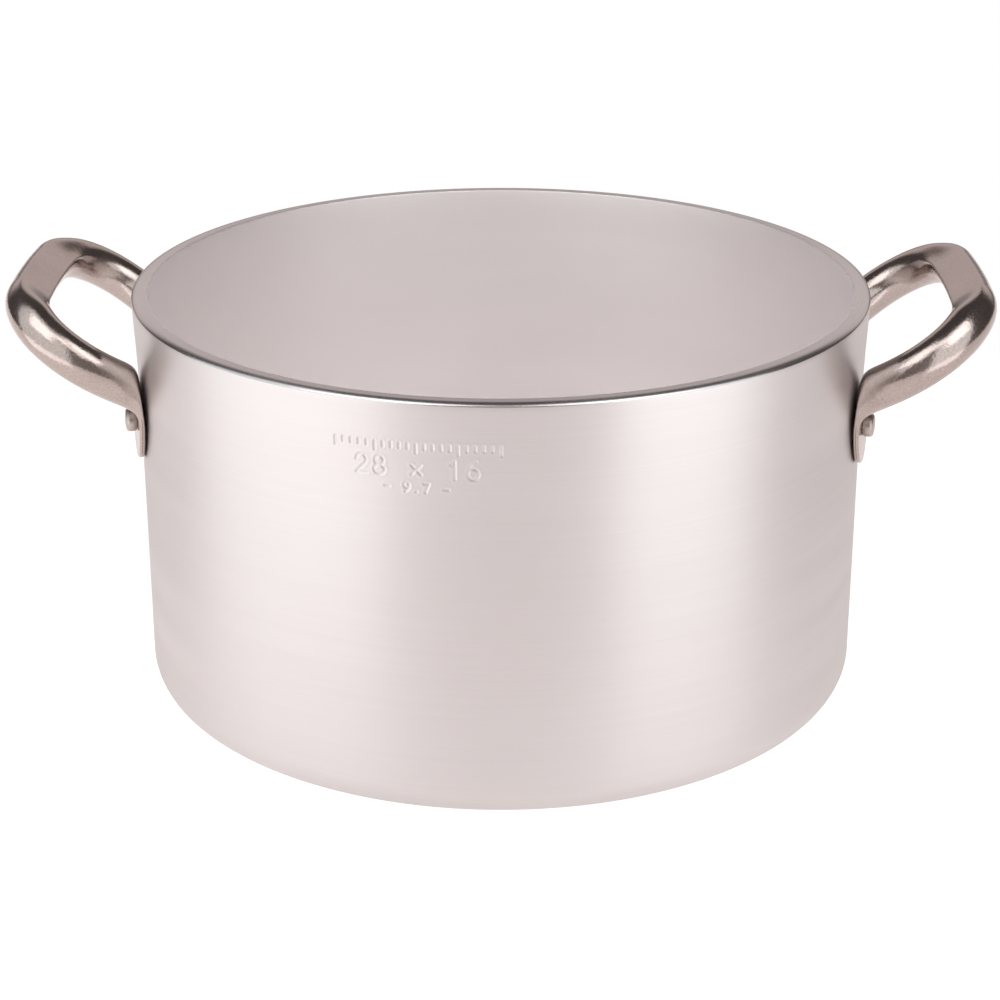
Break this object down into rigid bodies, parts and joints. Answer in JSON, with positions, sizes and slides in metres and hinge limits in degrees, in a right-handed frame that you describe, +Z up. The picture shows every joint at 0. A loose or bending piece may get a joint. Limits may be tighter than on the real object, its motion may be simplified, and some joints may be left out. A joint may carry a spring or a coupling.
{
  "type": "stock pot",
  "caption": "Open heavy-gauge cylindrical cooking pot with a flush thickened rim and two stainless tube loop handles, each riveted to the wall through its flattened ends.",
  "frame": {"origin": "centre of the pot's underside, on the surface that it stands on", "axes": "+Z up along the pot's axis, +X towards the right handle, -Y towards the front"},
  "size_m": [0.3702, 0.28, 0.1642],
  "materials": {
    "aluminium_body": "satin spun, turned rim",
    "stainless_handle": "tumble polished",
    "stainless_rivet": "turned and polished"
  },
  "bodies": {
    "root": {"pot_body": "aluminium_body", "handle_right": "stainless_handle", "handle_left": "stainless_handle", "rivet_right_rear": "stainless_rivet", "rivet_right_front": "stainless_rivet", "rivet_left_rear": "stainless_rivet", "rivet_left_front": "stainless_rivet"}
  },
  "joints": []
}
